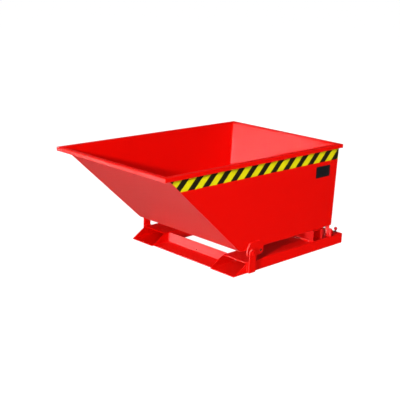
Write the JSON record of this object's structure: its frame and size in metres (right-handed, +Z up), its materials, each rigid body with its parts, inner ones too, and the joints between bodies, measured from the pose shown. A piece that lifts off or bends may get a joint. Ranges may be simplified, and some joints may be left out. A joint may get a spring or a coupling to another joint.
{
  "type": "tipping skip",
  "caption": "Low sheet-steel tipping skip on a fork-pocket base: a trough with a long pouring chute tips forward on side pivots, and a rear hand bolt locks it down.",
  "frame": {"origin": "on the floor under the middle of the skip's overall length and width", "axes": "+X forward towards the pouring lip, +Y to the left, where the lock is, +Z up"},
  "size_m": [1.679, 1.01, 0.7133],
  "materials": {
    "red_paint": "glossy powder coat with a faint orange peel",
    "zinc_steel": "zinc plated, satin",
    "red_knob": "glossy",
    "hazard_tape": "satin tape with slanted black and yellow stripes"
  },
  "bodies": {
    "base": {"fork_pocket_left": "red_paint", "fork_pocket_right": "red_paint", "front_cross_angle": "red_paint", "rear_support_beam": "red_paint", "pivot_lug_left": "red_paint", "pivot_lug_right": "red_paint", "lug_packing_left": "red_paint", "lug_packing_right": "red_paint", "pivot_pin_left": "red_paint", "pivot_pin_right": "red_paint", "pivot_spacers": "zinc_steel", "pivot_washers": "zinc_steel", "pivot_roll_pins": "zinc_steel", "lock_guide_plate": "red_paint", "lock_guide_tube": "red_paint"},
    "trough": {"trough_wrap": "red_paint", "side_panel_left": "red_paint", "side_panel_right": "red_paint", "side_rim_left": "red_paint", "side_rim_right": "red_paint", "front_lip": "red_paint", "rear_rim_bar": "red_paint", "hinge_plate_left": "red_paint", "hinge_plate_right": "red_paint", "lock_keeper": "red_paint", "hazard_tape_left": "hazard_tape", "hazard_tape_right": "hazard_tape"},
    "bolt": {"lock_bolt": "zinc_steel", "lock_knob": "red_knob", "lock_stop_pin": "zinc_steel"}
  },
  "joints": [
    {"name": "trough_tip", "type": "hinge", "parent": "base", "child": "trough", "pos_m": [0.0975, 0, 0.1303], "axis": [0, 1, 0], "range_deg": [0, 65]},
    {"name": "bolt_slide", "type": "slide", "parent": "base", "child": "bolt", "axis": [1, 0, 0], "range_m": [0, 0.02]}
  ]
}
